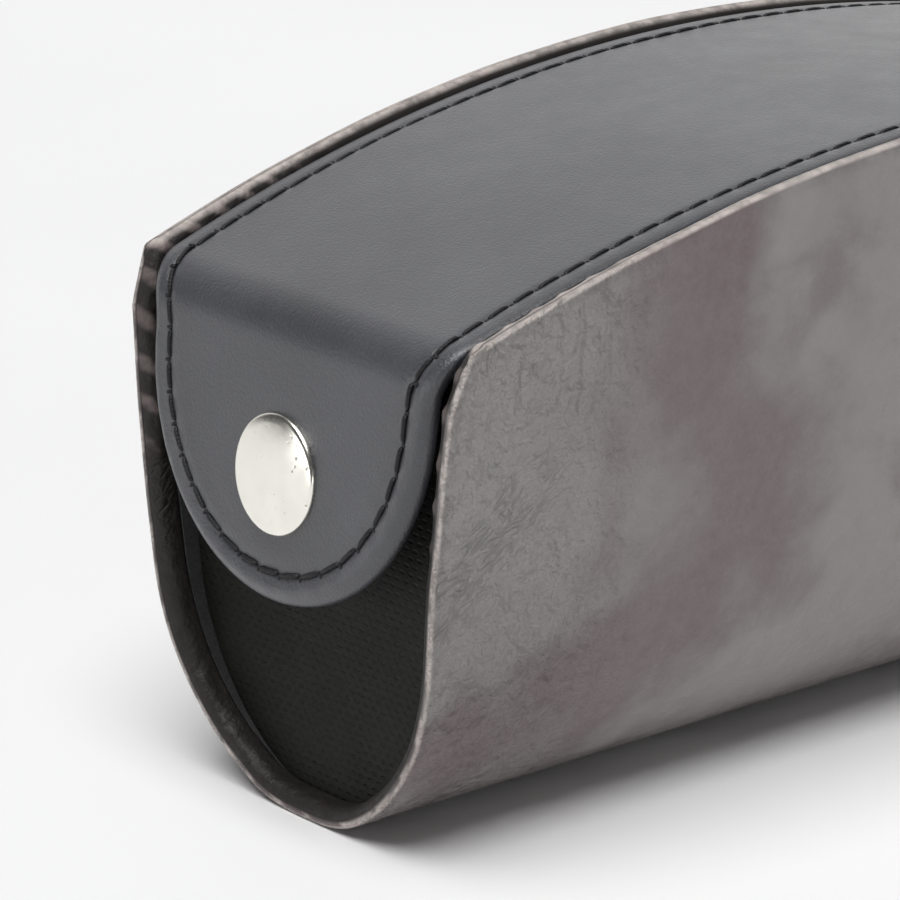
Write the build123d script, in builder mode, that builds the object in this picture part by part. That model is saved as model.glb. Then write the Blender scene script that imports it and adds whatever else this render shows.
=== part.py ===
from build123d import *
import math
import os

# A glasses case: a stiff, covered trough with a rounded bottom, closed at both ends by set-back
# gussets, and a sewn two-layer strip that arches over the opening and turns down at both ends
# into rounded tongues. The tongue at -X closes with a magnetic clasp under a round metal cap.
# The tongue at +X is riveted down, and the strip swings open about the crease above it.
# X runs along the case, Y across it and Z up from the flat on its underside. Millimetres.

# Wall outline, seen from the side
base_length = 155.4  # between the end edges, at the underside
end_bow = 1.85  # how far an end edge bows out at its middle
corner_out = 1.65  # how far its top corner stands out
corner_cut_drop = 5.9  # height of the slanted cut at each top corner
corner_cut_in = 2.15  # length of that cut along the case
rim_end_height = 55.4
rim_mid_height = 69.0

# Wall section
base_width = 9.2  # the flat that the case stands on
bottom_radius = 18.0
flank_radius = 27.6
flank_start = 29.5  # where the bottom's arc meets the flank's, in degrees from straight down
wall_lean = 6.4  # degrees

# Wall layers
cover_t = 0.8
board_t = 0.8
lining_t = 0.5
rim_turn = 3.0  # how far the cover is turned in over the board's edge
rim_round = 0.7

# End gussets
gusset_setback = 3.0  # behind the underside's end
gusset_cover_t = 0.7
gusset_board_t = 1.0
gusset_lining_t = 0.5
gusset_gap = 0.5  # below the strip

# Strip over the opening
strip_drop = 0.5  # its face below the walls' edges
side_gap = 0.4  # between it and each wall
leather_t = 0.9
stiffener_t = 0.5
backing_t = 0.6
stiffener_margin = 4.0
bend_radius = 6.0  # outer face of each end bend
crease_gap = 0.3

# Tongues
tongue_gap = 1.1  # between each edge and the wall, at the crease
tongue_round = 16.8  # height of the rounded end
tongue_drop = 12.8  # from the cap's centre to the tip
tongue_tilt = 6.2  # degrees that it leans out at the bottom
cap_height = 37.7  # centre of the cap, on the tongue's face

# Stitching
stitch_inset = 2.6
stitch_pitch = 3.4
stitch_length = 2.4
thread_d = 0.5

# Caps, clasp and rivets
cap_d = 12.5
cap_edge_t = 0.4
cap_dome = 0.5
shank_d = 3.0
head_d = 4.6
head_t = 0.5
cup_d = 12.0
cup_h = 1.8
cup_wall = 0.6
magnet_hole_d = 5.6
magnet_clearance = 0.1
closing_gap = 0.3
keeper_d = 11.5
keeper_t = 0.9
keeper_base_t = 1.0  # on its axis; it tapers
spacer_d = 10.0
washer_d = 8.0
washer_t = 0.4  # at its thin side

# Derived sizes
wall_t = cover_t + board_t + lining_t
strip_t = leather_t + stiffener_t + backing_t
end_x = base_length / 2
corner_x = end_x + corner_out
corner_z = rim_end_height - corner_cut_drop
rim_end_x = corner_x - corner_cut_in
rim_rise = rim_mid_height - rim_end_height
rim_radius = (rim_end_x**2 + rim_rise**2) / (2 * rim_rise)
arch_z = rim_mid_height - rim_radius  # centre of the arch
arch_radius = rim_radius - strip_drop
above = rim_mid_height + 10  # a height clear of everything
beyond = corner_x + end_bow + 10  # a length clear of everything
gusset_x = end_x - gusset_setback  # outer face of each gusset
gusset_t = gusset_cover_t + gusset_board_t + gusset_lining_t
tilt = math.radians(tongue_tilt)

# Depths below a tongue's face, along the clasp's axis
cup_face = strip_t + cup_h
keeper_face = cup_face + closing_gap
keeper_back = keeper_face + keeper_t
gusset_depth = keeper_back + keeper_base_t
gusset_back = gusset_depth + gusset_t / math.cos(tilt)
washer_face = gusset_back + washer_d / 2 * math.tan(tilt) + washer_t

# The tongues' planes: local Y runs up the tongue, local Z out of its face, origin under the cap
tongue_x = gusset_x + gusset_depth * math.cos(tilt)
cap_z = cap_height
clasp_plane = Plane(
    origin=(-tongue_x, 0, cap_z),
    x_dir=(0, -1, 0),
    z_dir=(-math.cos(tilt), 0, math.sin(tilt)),
)
fixed_plane = Plane(
    origin=(tongue_x, 0, cap_z),
    x_dir=(0, 1, 0),
    z_dir=(math.cos(tilt), 0, math.sin(tilt)),
)

# Each bend touches the arch and the tongue's plane: crease_y is the height up the tongue at which
# it starts, from |start + crease_y * up| = arch_radius - bend_radius about the arch's centre.
start_x = -tongue_x + bend_radius * math.cos(tilt)
start_z = cap_z - bend_radius * math.sin(tilt) - arch_z
along = start_x * math.sin(tilt) + start_z * math.cos(tilt)
short = start_x**2 + start_z**2 - (arch_radius - bend_radius) ** 2
crease_y = -along + math.sqrt(along**2 - short)
bend_x = start_x + crease_y * math.sin(tilt)
bend_z = start_z + crease_y * math.cos(tilt) + arch_z
bend_from = math.pi - tilt  # direction from the bend's centre to the crease
bend_to = math.atan2(bend_z - arch_z, bend_x)  # and to the arch
gusset_top = bend_z - gusset_gap + math.sqrt((bend_radius - strip_t) ** 2 - (gusset_x + bend_x) ** 2)
stiffener_half = -bend_x - stiffener_margin


def section_line(inset):
    """Half of the wall's section, inset from the outside: base, bottom arc, flank arc, wall."""
    base_drop = bottom_radius - math.sqrt(bottom_radius**2 - (base_width / 2) ** 2)
    centre_z = bottom_radius - base_drop
    r1 = bottom_radius - inset
    r2 = flank_radius - inset
    a0 = math.acos((centre_z - inset) / r1)
    a1 = math.radians(flank_start)
    a2 = math.radians(90 - wall_lean)
    flank_y = -(flank_radius - bottom_radius) * math.sin(a1)
    flank_z = centre_z + (flank_radius - bottom_radius) * math.cos(a1)

    def low(a):
        return (r1 * math.sin(a), centre_z - r1 * math.cos(a))

    def high(a):
        return (flank_y + r2 * math.sin(a), flank_z - r2 * math.cos(a))

    top = high(a2)
    lean_y = (above - top[1]) * math.tan(math.radians(wall_lean))
    return [
        (low(a0), low((a0 + a1) / 2), low(a1)),
        (high(a1), high((a1 + a2) / 2), top),
        (top[0] + lean_y, above),
    ]


def trough_half(inset, z):
    """Half the space between the walls, inset from the outside, at a height above the flanks' arcs."""
    foot = section_line(inset)[1][2]
    return foot[0] + (z - foot[1]) * math.tan(math.radians(wall_lean))


def trough(inset, mode=Mode.ADD):
    """Sketch the space inside the wall's section, inset from the outside, up past the rim."""
    bottom, flank, rim = section_line(inset)
    with BuildSketch(Plane.XY, mode=Mode.PRIVATE) as half:
        with BuildLine():
            Polyline((0, above), (0, bottom[0][1]), bottom[0])
            ThreePointArc(*bottom)
            ThreePointArc(*flank)
            Polyline(flank[2], rim, (0, above))
        make_face()
    add(half.sketch, mode=mode)
    add(half.sketch.mirror(Plane.YZ), mode=mode)


def outline(inset=0):
    """Sketch the wall's outline from the side, drawn in by inset."""
    with BuildSketch(Plane.XY, mode=Mode.PRIVATE) as side:
        with BuildLine():
            ThreePointArc((-rim_end_x, rim_end_height), (0, rim_mid_height), (rim_end_x, rim_end_height))
            Line((rim_end_x, rim_end_height), (corner_x, corner_z))
            ThreePointArc((corner_x, corner_z), (end_x + end_bow, corner_z / 2), (end_x, 0))
            Polyline((end_x, 0), (end_x, -10), (-end_x, -10), (-end_x, 0))
            ThreePointArc((-end_x, 0), (-end_x - end_bow, corner_z / 2), (-corner_x, corner_z))
            Line((-corner_x, corner_z), (-rim_end_x, rim_end_height))
        make_face()
        if inset:
            offset(amount=-inset, kind=Kind.INTERSECTION)
    add(side.sketch)


def wall_layer(outer, inner, edge):
    """A layer of the wall between two insets, whose edges lie the given way inside the outline."""
    with BuildPart() as layer:
        with BuildSketch(Plane.YZ):
            trough(outer)
            trough(inner, mode=Mode.SUBTRACT)
        extrude(amount=beyond, both=True)
        with BuildSketch(Plane.XZ):
            outline(edge)
        extrude(amount=beyond, both=True, mode=Mode.INTERSECT)
    return layer.part


def strip_points(depth):
    """Points of the strip's side line at a depth: crease, bend and arch, to the middle."""
    r = bend_radius - depth
    middle = (bend_from + bend_to) / 2
    bend = [(bend_x + r * math.cos(a), bend_z + r * math.sin(a)) for a in (bend_from, middle, bend_to)]
    return bend, (0, arch_z + arch_radius - depth)


def strip_line(depth):
    """Draw the strip's line from crease to crease at a depth below its face."""
    bend, top = strip_points(depth)
    other = [(-x, z) for x, z in reversed(bend)]
    ThreePointArc(*bend)
    ThreePointArc(bend[2], top, other[0])
    ThreePointArc(*other)
    return bend[0], other[2]


def strip_face(outer, inner):
    """Sketch the strip between two depths, seen from the side."""
    with BuildSketch(Plane.XY, mode=Mode.PRIVATE) as side:
        with BuildLine():
            a, b = strip_line(outer)
            c, d = strip_line(inner)
            Line(a, c)
            Line(b, d)
        make_face()
    add(side.sketch)


def between_walls(inset):
    """Keep what lies further inside the wall's outer face than an inset."""
    with BuildPart(mode=Mode.PRIVATE) as space:
        with BuildSketch(Plane.YZ):
            trough(inset)
        extrude(amount=beyond, both=True)
    add(space.part, mode=Mode.INTERSECT)


def tongue_face(inset, top, mode=Mode.ADD):
    """Sketch a tongue drawn in at its sides and tip, up to a height above the cap's centre."""
    round_y = tongue_round - tongue_drop
    half = tongue_half - inset
    with BuildSketch(Plane.XY, mode=Mode.PRIVATE) as face:
        with Locations((0, round_y)):
            Ellipse(half, tongue_round - inset)
            Rectangle(2 * half, tongue_drop + tongue_round, align=(Align.CENTER, Align.MIN))
        with Locations((0, top)):
            Rectangle(4 * half, 2 * tongue_drop + tongue_round, align=(Align.CENTER, Align.MIN), mode=Mode.SUBTRACT)
    add(face.sketch, mode=mode)


tongue_half = trough_half(wall_t, cap_z + crease_y * math.cos(tilt)) - tongue_gap
tongue_top = crease_y - crease_gap
stiffener_top = tongue_top - stiffener_margin


def tongue_layer(plane, outer, inner, inset, top):
    """A layer of a tongue between two depths, with the hole for the rivet."""
    with BuildPart() as layer:
        with BuildSketch(plane.offset(-inner)):
            tongue_face(inset, top)
            Circle(shank_d / 2, mode=Mode.SUBTRACT)
        extrude(amount=inner - outer)
    return layer.part


def tongue_backing(plane):
    """The tongue's inner leather, which also closes round the stiffener's edge."""
    with BuildPart() as backing:
        add(tongue_layer(plane, leather_t, strip_t, 0, tongue_top))
        add(
            tongue_layer(plane, leather_t, leather_t + stiffener_t, stiffener_margin, stiffener_top),
            mode=Mode.SUBTRACT,
        )
        with BuildSketch(plane.offset(-strip_t)):
            Circle(shank_d / 2)
        extrude(amount=strip_t, mode=Mode.SUBTRACT)
    return backing.part


def tongue_thread(plane):
    """A tongue's seam: one thread, on the face at each stitch and inside the leather between."""
    with BuildLine() as seam:
        half = tongue_half - stitch_inset
        round_y = tongue_round - tongue_drop
        Line((-half, tongue_top), (-half, round_y))
        EllipticalCenterArc((0, round_y), half, tongue_round - stitch_inset, start_angle=180, arc_size=180)
        Line((half, round_y), (half, tongue_top))
    path = seam.wire()
    count = round(path.length / stitch_pitch)
    with BuildPart() as thread:
        with BuildSketch(plane.offset(-thread_d / 2)):
            tongue_face(stitch_inset - thread_d / 2, tongue_top)
            tongue_face(stitch_inset + thread_d / 2, tongue_top, mode=Mode.SUBTRACT)
        extrude(amount=thread_d / 4)
        with BuildSketch(plane):
            for i in range(count):
                u = (i + 0.5) / count
                point = path @ u
                tangent = path % u
                angle = math.degrees(math.atan2(tangent.Y, tangent.X))
                with Locations(Location((point.X, point.Y, 0), angle)):
                    Rectangle(stitch_length, thread_d)
        extrude(amount=thread_d / 2, both=True)
    return thread.part


def turned(plane, outline_points, arc=None):
    """Turn a profile about the clasp's axis. Points are radius and height above the tongue's face."""
    profile = Plane(origin=plane.origin, x_dir=plane.x_dir, z_dir=-plane.y_dir)
    with BuildPart() as piece:
        with BuildSketch(profile):
            with BuildLine():
                Polyline(*outline_points, close=arc is None)
                if arc:
                    ThreePointArc(outline_points[-1], arc, outline_points[0])
            make_face()
        revolve(axis=Axis(plane.origin, plane.z_dir))
    return piece.part


def cap(plane):
    """A low domed cap on the tongue's face."""
    r = cap_d / 2
    top = cap_edge_t + cap_dome
    bow = (r**2 + cap_dome**2) / (2 * cap_dome)
    mid_drop = bow - math.sqrt(bow**2 - (r / 2) ** 2)
    return turned(plane, [(0, top), (0, 0), (r, 0), (r, cap_edge_t)], arc=(r / 2, top - mid_drop))


def rivet(plane, start, end, head_at_start):
    """A rivet along the clasp's axis between two depths, with a head at its far end."""
    s, h = shank_d / 2, head_d / 2
    points = [(0, -start)]
    if head_at_start:
        points += [(h, -start), (h, -start - head_t), (s, -start - head_t)]
    else:
        points += [(s, -start)]
    points += [(s, -end + head_t), (h, -end + head_t), (h, -end), (0, -end)]
    return turned(plane, points)


def tapered(plane, d, near, far, side, keep_sign):
    """A holed disc along the clasp's axis between two depths, cut by an upright plane at X = side."""
    with BuildPart() as piece:
        with BuildSketch(plane.offset(-far)):
            Circle(d / 2)
            Circle(shank_d / 2, mode=Mode.SUBTRACT)
        extrude(amount=far - near)
        split(bisect_by=Plane(origin=(side, 0, 0), z_dir=(keep_sign, 0, 0)), keep=Keep.TOP)
    return piece.part


def gusset_layer(sign, outer, inner):
    """A layer of the gusset at -X or +X between two depths, with the hole for its rivet."""
    plane = clasp_plane if sign < 0 else fixed_plane
    with BuildPart() as layer:
        with BuildSketch(Plane.YZ.offset(sign * (gusset_x - inner))):
            trough(wall_t)
            with Locations((0, gusset_top)):
                Rectangle(4 * beyond, above, align=(Align.CENTER, Align.MIN), mode=Mode.SUBTRACT)
        extrude(amount=sign * (inner - outer))
        with BuildSketch(plane):
            Circle(shank_d / 2)
        extrude(amount=-beyond / 2, mode=Mode.SUBTRACT)
    return layer.part


# Walls
with BuildPart() as outer_cover:
    add(wall_layer(0, wall_t, 0))
    rim_edges = outer_cover.edges().filter_by(Axis.X, reverse=True)
    fillet(rim_edges.filter_by(lambda edge: edge.length > 1.2 * wall_t), rim_round)
    add(wall_layer(cover_t, wall_t + rim_turn, rim_turn), mode=Mode.SUBTRACT)

with BuildPart() as wall_board:
    add(wall_layer(cover_t, cover_t + board_t, rim_turn))

with BuildPart() as inner_lining:
    add(wall_layer(cover_t + board_t, wall_t, rim_turn))

# Gussets
gusset_depths = [0, gusset_cover_t, gusset_cover_t + gusset_board_t, gusset_t]
gussets = {}
for end, sign in (("front", -1), ("rear", 1)):
    for i, layer_name in enumerate(("cover", "board", "lining")):
        with BuildPart() as gusset:
            add(gusset_layer(sign, gusset_depths[i], gusset_depths[i + 1]))
        gussets[f"{end}_gusset_{layer_name}"] = gusset

# Strip over the opening
with BuildPart() as lid_cover:
    with BuildSketch(Plane.XZ):
        strip_face(0, leather_t)
    extrude(amount=beyond, both=True)
    between_walls(wall_t + side_gap)

with BuildPart() as lid_stiffener:
    with BuildSketch(Plane.XZ):
        strip_face(leather_t, leather_t + stiffener_t)
    extrude(amount=beyond, both=True)
    between_walls(wall_t + side_gap + stiffener_margin)
    with BuildSketch(Plane.XY):
        Rectangle(2 * stiffener_half, 2 * beyond)
    extrude(amount=above, mode=Mode.INTERSECT)

with BuildPart() as lid_lining:
    with BuildSketch(Plane.XZ):
        strip_face(leather_t, strip_t)
    extrude(amount=beyond, both=True)
    between_walls(wall_t + side_gap)
    add(lid_stiffener.part, mode=Mode.SUBTRACT)

with BuildLine() as strip_path:
    strip_line(0)
lid_path = strip_path.wire()
lid_stitches = round(lid_path.length / stitch_pitch)
seam_inset = wall_t + side_gap + stitch_inset

with BuildPart() as lid_stitching:
    with BuildSketch(Plane.XZ):
        strip_face(thread_d / 4, thread_d / 2)
        for i in range(lid_stitches):
            u = (i + 0.5) / lid_stitches
            point = lid_path @ u
            tangent = lid_path % u
            angle = math.degrees(math.atan2(tangent.Y, tangent.X))
            with Locations(Location((point.X, point.Y, 0), angle)):
                Rectangle(stitch_length, thread_d)
    extrude(amount=beyond, both=True)
    with BuildSketch(Plane.YZ):
        trough(seam_inset - thread_d / 2)
        trough(seam_inset + thread_d / 2, mode=Mode.SUBTRACT)
    extrude(amount=beyond, both=True, mode=Mode.INTERSECT)

# Tongue with the clasp
with BuildPart() as tongue_cover:
    add(tongue_layer(clasp_plane, 0, leather_t, 0, tongue_top))

with BuildPart() as tongue_stiffener:
    add(tongue_layer(clasp_plane, leather_t, leather_t + stiffener_t, stiffener_margin, stiffener_top))

with BuildPart() as tongue_lining:
    add(tongue_backing(clasp_plane))

with BuildPart() as tongue_stitching:
    add(tongue_thread(clasp_plane))

with BuildPart() as clasp_cap:
    add(cap(clasp_plane))

cup_floor = strip_t + cup_wall
with BuildPart() as magnet_cup:
    r = cup_d / 2
    s = shank_d / 2
    add(
        turned(
            clasp_plane,
            [
                (s, -strip_t),
                (r, -strip_t),
                (r, -cup_face),
                (r - cup_wall, -cup_face),
                (r - cup_wall, -cup_floor),
                (s, -cup_floor),
            ],
        )
    )

with BuildPart() as clasp_magnet:
    magnet_r = cup_d / 2 - cup_wall - magnet_clearance
    with BuildSketch(clasp_plane.offset(-cup_face + magnet_clearance)):
        Circle(magnet_r)
        Circle(magnet_hole_d / 2, mode=Mode.SUBTRACT)
    extrude(amount=cup_h - cup_wall - magnet_clearance)

with BuildPart() as clasp_rivet:
    add(rivet(clasp_plane, 0, cup_floor + head_t, head_at_start=False))

# What the clasp meets, riveted to the gusset
with BuildPart() as keeper_plate:
    r, s, h = keeper_d / 2, shank_d / 2, head_d / 2
    add(
        turned(
            clasp_plane,
            [
                (h, -keeper_face),
                (r, -keeper_face),
                (r, -keeper_back),
                (s, -keeper_back),
                (s, -keeper_face - head_t),
                (h, -keeper_face - head_t),
            ],
        )
    )

with BuildPart() as keeper_base:
    add(tapered(clasp_plane, keeper_d, keeper_back, gusset_depth + keeper_d, -gusset_x, -1))

with BuildPart() as keeper_rivet:
    add(rivet(clasp_plane, keeper_face, washer_face + head_t, head_at_start=True))

with BuildPart() as keeper_washer:
    add(tapered(clasp_plane, washer_d, gusset_back - washer_d, washer_face, gusset_t - gusset_x, 1))

# Tongue that stays riveted down
with BuildPart() as fixed_tongue_cover:
    add(tongue_layer(fixed_plane, 0, leather_t, 0, tongue_top))

with BuildPart() as fixed_tongue_stiffener:
    add(tongue_layer(fixed_plane, leather_t, leather_t + stiffener_t, stiffener_margin, stiffener_top))

with BuildPart() as fixed_tongue_lining:
    add(tongue_backing(fixed_plane))

with BuildPart() as fixed_tongue_stitching:
    add(tongue_thread(fixed_plane))

with BuildPart() as rear_cap:
    add(cap(fixed_plane))

with BuildPart() as rear_spacer:
    add(tapered(fixed_plane, spacer_d, strip_t, gusset_depth + spacer_d, gusset_x, 1))

with BuildPart() as rear_rivet:
    add(rivet(fixed_plane, 0, washer_face + head_t, head_at_start=False))

with BuildPart() as rear_washer:
    add(tapered(fixed_plane, washer_d, gusset_back - washer_d, washer_face, gusset_x - gusset_t, -1))

pieces = {
    "outer_cover": outer_cover,
    "wall_board": wall_board,
    "inner_lining": inner_lining,
    **gussets,
    "lid_cover": lid_cover,
    "lid_stiffener": lid_stiffener,
    "lid_lining": lid_lining,
    "lid_stitching": lid_stitching,
    "tongue_cover": tongue_cover,
    "tongue_stiffener": tongue_stiffener,
    "tongue_lining": tongue_lining,
    "tongue_stitching": tongue_stitching,
    "clasp_cap": clasp_cap,
    "clasp_rivet": clasp_rivet,
    "magnet_cup": magnet_cup,
    "clasp_magnet": clasp_magnet,
    "keeper_plate": keeper_plate,
    "keeper_base": keeper_base,
    "keeper_rivet": keeper_rivet,
    "keeper_washer": keeper_washer,
    "fixed_tongue_cover": fixed_tongue_cover,
    "fixed_tongue_stiffener": fixed_tongue_stiffener,
    "fixed_tongue_lining": fixed_tongue_lining,
    "fixed_tongue_stitching": fixed_tongue_stitching,
    "rear_cap": rear_cap,
    "rear_spacer": rear_spacer,
    "rear_rivet": rear_rivet,
    "rear_washer": rear_washer,
}

os.makedirs("parts", exist_ok=True)
for piece_name, builder in pieces.items():
    builder.part.label = piece_name
    export_step(builder.part, f"parts/{piece_name}.step")

crease_x = -tongue_x + crease_y * math.sin(tilt)
crease_z = cap_z + crease_y * math.cos(tilt)
print(f"crease lines at x {crease_x:.3f} and {-crease_x:.3f}, z {crease_z:.3f}")
print(f"cap centre x {tongue_x:.3f}, z {cap_z:.3f}; gusset top {gusset_top:.3f}; {lid_stitches} stitches a side")
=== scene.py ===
import math
from contextlib import contextmanager

import bpy
import numpy as np
from bpy.props import FloatProperty, FloatVectorProperty, PointerProperty
from mathutils import Matrix, Vector


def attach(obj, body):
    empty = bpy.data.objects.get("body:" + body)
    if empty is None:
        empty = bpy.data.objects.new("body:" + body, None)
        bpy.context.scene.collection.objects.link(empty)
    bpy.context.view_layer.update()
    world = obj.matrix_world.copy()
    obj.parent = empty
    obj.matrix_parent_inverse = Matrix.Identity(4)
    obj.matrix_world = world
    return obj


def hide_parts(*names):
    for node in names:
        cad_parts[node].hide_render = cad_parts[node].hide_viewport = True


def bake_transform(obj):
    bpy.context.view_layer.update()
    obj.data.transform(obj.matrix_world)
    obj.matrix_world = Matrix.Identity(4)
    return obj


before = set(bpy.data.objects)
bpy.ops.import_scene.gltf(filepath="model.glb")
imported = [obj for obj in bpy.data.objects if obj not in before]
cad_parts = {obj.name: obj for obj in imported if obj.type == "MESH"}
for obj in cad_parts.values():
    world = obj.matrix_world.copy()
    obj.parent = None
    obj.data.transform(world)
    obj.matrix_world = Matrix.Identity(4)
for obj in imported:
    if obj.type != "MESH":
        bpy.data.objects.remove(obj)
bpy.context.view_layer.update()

bl_info = {
    "name": "Glasses case",
    "version": (1, 0, 0),
    "blender": (4, 5, 0),
    "location": "3D View > Sidebar > Glasses case",
    "description": "Builds the coverings, seams and fittings of a stiff glasses case",
    "category": "Add Mesh",
}

MM = 0.001

# The walls, in millimetres, as their solids have them
END_X = 77.7  # end of a wall at its base
END_SLOPE, END_BOW = 0.11616, 0.0016733  # an end edge's lean at its base, and how it bows back
RIM_END = (77.2, 55.4)  # x and z of the arched edge's end
CORNER = (79.35, 49.5)  # x and z of the other end of the cut corner
RIM_MID_Z = 69.0
BASE_HALF = 4.6
BOTTOM_R = 18.0
BELLY = (9.0, 1.81)  # y and z where the nearly flat underside ends
BELLY_POWER = 2.87
FLANK_R = 27.6
FLANK_START = math.radians(29.5)
LEAN = math.radians(6.4)
COVER_T, WALL_T = 0.8, 2.1
RIM_TURN = 3.0  # how far the cover is turned in over the edges
JOIN_DEPTH = 0.5  # under the outside, where the cover's two sheets meet

# The strip and its fittings, in millimetres, as their solids have them
STRIP_T = 2.0
STRIP_DROP = 0.5  # its face under the walls' edges
SIDE_GAP = 0.4
BEND_R = 6.0
TILT = math.radians(6.2)
TONGUE_X, CAP_Z = 80.665, 37.7  # the tongue's face where its cap sits
CREASE_UP = 12.915  # from there to the crease
TONGUE_HALF = 22.1
TONGUE_ROUND, TONGUE_FROM = 23.2, 3.0  # length of its rounded end, and where that starts past the crease
CAP_R = 6.25

# Finer shape, in millimetres
OUTER_ROLL, INNER_ROLL, BACK_ROLL = 0.4, 1.6, 0.6  # the walls' two rolled edges, and the strip's back
GATHER_PITCH, GATHER_PLACE = 4.3, 0.9
GATHER_X, GATHER_Z = (46, 66), (26, 40)  # where the gathers come in, along the case and upward
SEAM_IN = 0.5  # how much further in the seam lies round a tongue
SEAM_REACH = 7.0  # from the edge, where points still look for the seam
GROOVE_WIDTH = 0.42
PUFF_HEIGHT, PUFF_PLACE, PUFF_WIDTH = 0.20, 1.65, 0.75  # ridge between the edge and the seam
RIDGE_HEIGHT, RIDGE_PLACE, RIDGE_WIDTH = 0.08, 1.4, 0.8  # the slighter ridge past the seam
DIMPLE_DEPTH, DIMPLE_WIDTH = 0.14, 1.2  # where a cap draws the leather in
BACKING_INSET = 1.0
CAP_RIM = ((0.12, -0.25), (0.02, -0.1), (0.0, 0.08), (0.03, 0.22), (0.1, 0.33), (0.22, 0.42), (0.42, 0.48))
DOME_RINGS = 9

# Colours that only one layer of a material uses
COVER_WARM, COVER_FLECK = (0.196, 0.166, 0.165), (0.30, 0.285, 0.275)
# A paler colour towards the top near the ends, and painted shade for the creases and under the rolled edges
COVER_PALE_UPPER_ENDS, COVER_SHADE = (0.345, 0.333, 0.318), (0.11, 0.090, 0.086)
# Inside of the turned-in edges: near-black, partly dark leather and partly painted shade, paler on the
# gathers' crests
INSIDE_DARK_AND_SHADE, INSIDE_FOLD_CREST = (0.018, 0.015, 0.014), (0.11, 0.090, 0.085)
# The first is painted shade in the strip's seam groove
SEAM_GROOVE_SHADE, DASH_DARK = (0.004, 0.004, 0.005), (0.004, 0.004, 0.004)
PIT_GREY = (0.30, 0.28, 0.25)

# The camera, in metres and degrees
CAMERA_PLACE = (-0.36307, -0.36188, 0.18664)
CAMERA_TURN, CAMERA_UP, CAMERA_ROLL = -40.143, 17.691, 0.299
CAMERA_LENS, CAMERA_FILM = 193.07, 36.0

RIM_RISE = RIM_MID_Z - RIM_END[1]
RIM_R = (RIM_END[0] ** 2 + RIM_RISE**2) / (2 * RIM_RISE)
ARCH_Z = RIM_MID_Z - RIM_R
ARCH_R = RIM_R - STRIP_DROP

# The strip's line is an arch, a bend and a flat tongue. Its run is counted from the middle of the arch.
CREASE = (TONGUE_X - CREASE_UP * math.sin(TILT), CAP_Z + CREASE_UP * math.cos(TILT))
BEND_CENTRE = (CREASE[0] - BEND_R * math.cos(TILT), CREASE[1] - BEND_R * math.sin(TILT))
BEND_TO = math.atan2(BEND_CENTRE[1] - ARCH_Z, BEND_CENTRE[0])
ARCH_RUN = ARCH_R * (math.pi / 2 - BEND_TO)
BEND_RUN = BEND_R * (BEND_TO - TILT)
CREASE_RUN = ARCH_RUN + BEND_RUN
ROUND_RUN = CREASE_RUN + TONGUE_FROM


class CaseSizes(bpy.types.PropertyGroup):
    """Sizes of the seams, edges and fittings."""

    stitch_pitch: FloatProperty(
        name="Stitch pitch", description="From one stitch to the next",
        default=3.3 * MM, unit="LENGTH", precision=5,
    )
    stitch_length: FloatProperty(
        name="Stitch length", description="Thread that shows in one stitch",
        default=3.2 * MM, unit="LENGTH", precision=5,
    )
    thread_width: FloatProperty(
        name="Thread width", description="Width of the thread",
        default=0.5 * MM, unit="LENGTH", precision=5,
    )
    seam_inset: FloatProperty(
        name="Seam inset", description="From the strip's edge to its seam",
        default=2.75 * MM, unit="LENGTH", precision=5,
    )
    seam_depth: FloatProperty(
        name="Seam depth", description="How far the seam draws the leather in",
        default=0.28 * MM, unit="LENGTH", precision=5,
    )
    edge_drop: FloatProperty(
        name="Edge drop", description="How far the strip's face rolls down at its edge",
        default=1.35 * MM, unit="LENGTH", precision=5,
    )
    edge_roll: FloatProperty(
        name="Edge roll", description="Width of that roll",
        default=1.7 * MM, unit="LENGTH", precision=5,
    )
    gather_depth: FloatProperty(
        name="Gather depth", description="Height of the gathers in the turned-in edge",
        default=0.5 * MM, unit="LENGTH", precision=5,
    )
    cap_height: FloatProperty(
        name="Cap height", description="Height of a cap at its middle",
        default=0.9 * MM, unit="LENGTH", precision=5,
    )


class CaseColours(bpy.types.PropertyGroup):
    """Colours of the coverings and fittings."""

    cover_pale: FloatVectorProperty(
        name="Cover, pale", description="Pale parts of the mottled cover",
        default=(0.252, 0.240, 0.234), subtype="COLOR",
    )
    cover_dark: FloatVectorProperty(
        name="Cover, dark", description="Brown patches of the mottled cover",
        default=(0.150, 0.117, 0.120), subtype="COLOR",
    )
    # Pale rims: partly wear from rubbing, partly a painted highlight on the rolled edges
    cover_edge: FloatVectorProperty(
        name="Cover, edge", description="Rubbed edges of the cover, with a painted highlight",
        default=(0.56, 0.50, 0.47), subtype="COLOR",
    )
    leather: FloatVectorProperty(
        name="Leather", description="The strip's black leather",
        default=(0.045, 0.046, 0.053), subtype="COLOR",
    )
    fabric: FloatVectorProperty(
        name="Gusset fabric", description="Embossed fabric of the gussets",
        default=(0.0085, 0.0083, 0.0070), subtype="COLOR",
    )
    felt: FloatVectorProperty(
        name="Felt", description="Lining felt",
        default=(0.022, 0.022, 0.024), subtype="COLOR",
    )
    thread: FloatVectorProperty(
        name="Thread", description="Sewing thread",
        default=(0.006, 0.006, 0.007), subtype="COLOR",
    )
    nickel: FloatVectorProperty(
        name="Nickel", description="Polished caps",
        default=(0.925, 0.905, 0.83), subtype="COLOR",
    )
    floor: FloatVectorProperty(
        name="Floor", description="Floor under the case",
        default=(0.93, 0.93, 0.935), subtype="COLOR",
    )


# Curves over places


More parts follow.
